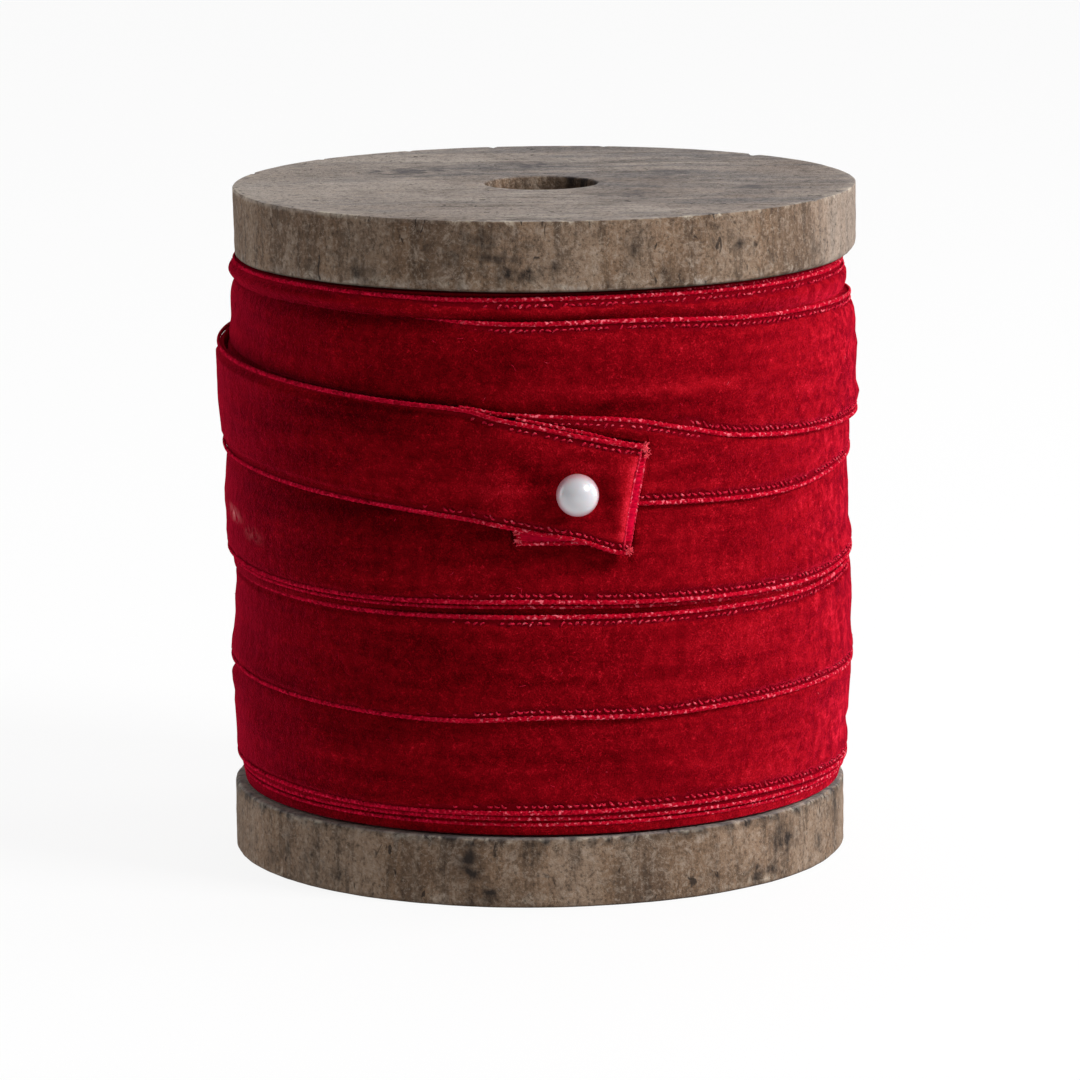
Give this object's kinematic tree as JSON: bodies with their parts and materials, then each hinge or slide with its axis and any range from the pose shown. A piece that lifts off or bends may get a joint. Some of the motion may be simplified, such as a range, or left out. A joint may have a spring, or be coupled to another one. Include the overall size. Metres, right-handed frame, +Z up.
{
  "type": "roll of velvet ribbon on a wooden spool",
  "caption": "Velvet ribbon wound on a flanged wooden spool with a bore through it; the free end is folded under and held by a pearl-headed pin.",
  "frame": {"origin": "middle of the object's footprint box, on the surface it stands on; the spool's own axis stands 2.8 mm behind it, because the pin's head reaches forward", "axes": "+Z up along the spool's axis, -Y towards the front with the pinned end of the ribbon, +X to the right of that view"},
  "size_m": [0.0786, 0.0843, 0.0821],
  "materials": {
    "spool_wood": "weathered bare wood, matt",
    "velvet": "cut-pile velvet with woven edges",
    "pearl": "imitation pearl, glossy"
  },
  "bodies": {
    "root": {"flange_bottom": "spool_wood", "flange_top": "spool_wood", "barrel": "spool_wood", "ribbon_roll": "velvet", "ribbon_tail": "velvet", "pearl_pin": "pearl"}
  },
  "joints": []
}
